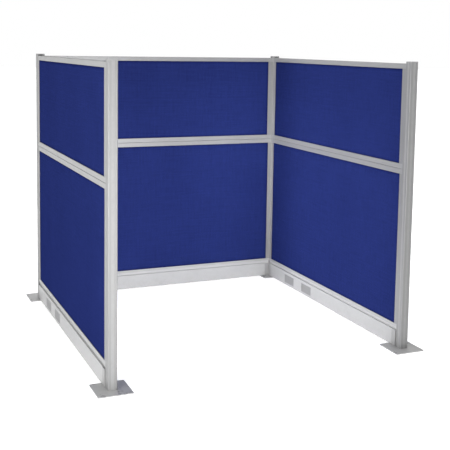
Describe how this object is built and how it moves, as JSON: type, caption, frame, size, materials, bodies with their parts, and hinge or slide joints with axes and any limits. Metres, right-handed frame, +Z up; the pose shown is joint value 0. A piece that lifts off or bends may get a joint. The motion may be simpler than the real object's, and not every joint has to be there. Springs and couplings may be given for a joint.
{
  "type": "partition wall",
  "caption": "Free-standing U-shaped partition: fabric-covered walls in metal frames between square posts on foot plates, with a wiring raceway along the foot.",
  "frame": {"origin": "on the floor, at the centre of the square of the four posts", "axes": "+Z up, +X along the back wall to the right as seen from the open front, +Y from the open front to the back wall"},
  "size_m": [2.083, 2.083, 1.797],
  "materials": {
    "post_metal": "satin silver-grey powder coat on an aluminium extrusion",
    "frame_metal": "satin silver-grey powder coat",
    "plate_steel": "semi-gloss grey coat on steel plate",
    "cap_grey": "satin moulded plastic",
    "screw_steel": "zinc plated",
    "filler_strip": "satin extruded plastic strip",
    "key_metal": "mill finish",
    "core_board": "raw hardboard over a honeycomb core",
    "blue_fabric": "plain woven panel fabric, royal blue",
    "raceway_steel": "satin grey powder coat",
    "cover_paint": "satin light grey powder coat",
    "blank_plastic": "satin moulded plastic",
    "trim_paint": "satin silver-grey powder coat"
  },
  "bodies": {
    "partition": {"front_left_post": "post_metal", "front_left_foot_plate": "plate_steel", "front_right_post": "post_metal", "front_right_foot_plate": "plate_steel", "rear_left_post": "post_metal", "rear_left_foot_plate": "plate_steel", "rear_right_post": "post_metal", "rear_right_foot_plate": "plate_steel", "post_caps": "cap_grey", "foot_screws": "screw_steel", "slot_fillers": "filler_strip", "panel_keys": "key_metal", "left_top_rail": "frame_metal", "left_upper_sill": "frame_metal", "left_lower_header": "frame_metal", "left_bottom_rail": "frame_metal", "left_upper_stiles": "frame_metal", "left_upper_board": "core_board", "left_upper_fabric": "blue_fabric", "left_lower_stiles": "frame_metal", "left_lower_board": "core_board", "left_lower_fabric": "blue_fabric", "left_raceway_chassis": "raceway_steel", "left_raceway_end_trims": "trim_paint", "back_top_rail": "frame_metal", "back_upper_sill": "frame_metal", "back_lower_header": "frame_metal", "back_bottom_rail": "frame_metal", "back_upper_stiles": "frame_metal", "back_upper_board": "core_board", "back_upper_fabric": "blue_fabric", "back_lower_stiles": "frame_metal", "back_lower_board": "core_board", "back_lower_fabric": "blue_fabric", "back_raceway_chassis": "raceway_steel", "back_raceway_end_trims": "trim_paint", "right_top_rail": "frame_metal", "right_upper_sill": "frame_metal", "right_lower_header": "frame_metal", "right_bottom_rail": "frame_metal", "right_upper_stiles": "frame_metal", "right_upper_board": "core_board", "right_upper_fabric": "blue_fabric", "right_lower_stiles": "frame_metal", "right_lower_board": "core_board", "right_lower_fabric": "blue_fabric", "right_raceway_chassis": "raceway_steel", "right_raceway_end_trims": "trim_paint"},
    "left_inner_cover_set": {"left_inner_cover": "cover_paint", "left_inner_outlet_blanks": "blank_plastic"},
    "left_outer_cover_set": {"left_outer_cover": "cover_paint", "left_outer_outlet_blanks": "blank_plastic"},
    "back_inner_cover_set": {"back_inner_cover": "cover_paint"},
    "back_outer_cover_set": {"back_outer_cover": "cover_paint"},
    "right_inner_cover_set": {"right_inner_cover": "cover_paint", "right_inner_outlet_blanks": "blank_plastic"},
    "right_outer_cover_set": {"right_outer_cover": "cover_paint", "right_outer_outlet_blanks": "blank_plastic"}
  },
  "joints": [
    {"name": "left_inner_cover_pull", "type": "slide", "parent": "partition", "child": "left_inner_cover_set", "axis": [1, 0, 0], "range_m": [0, 0.03]},
    {"name": "left_outer_cover_pull", "type": "slide", "parent": "partition", "child": "left_outer_cover_set", "axis": [-1, 0, 0], "range_m": [0, 0.03]},
    {"name": "back_inner_cover_pull", "type": "slide", "parent": "partition", "child": "back_inner_cover_set", "axis": [0, -1, 0], "range_m": [0, 0.03]},
    {"name": "back_outer_cover_pull", "type": "slide", "parent": "partition", "child": "back_outer_cover_set", "axis": [0, 1, 0], "range_m": [0, 0.03]},
    {"name": "right_inner_cover_pull", "type": "slide", "parent": "partition", "child": "right_inner_cover_set", "axis": [-1, 0, 0], "range_m": [0, 0.03]},
    {"name": "right_outer_cover_pull", "type": "slide", "parent": "partition", "child": "right_outer_cover_set", "axis": [1, 0, 0], "range_m": [0, 0.03]}
  ]
}
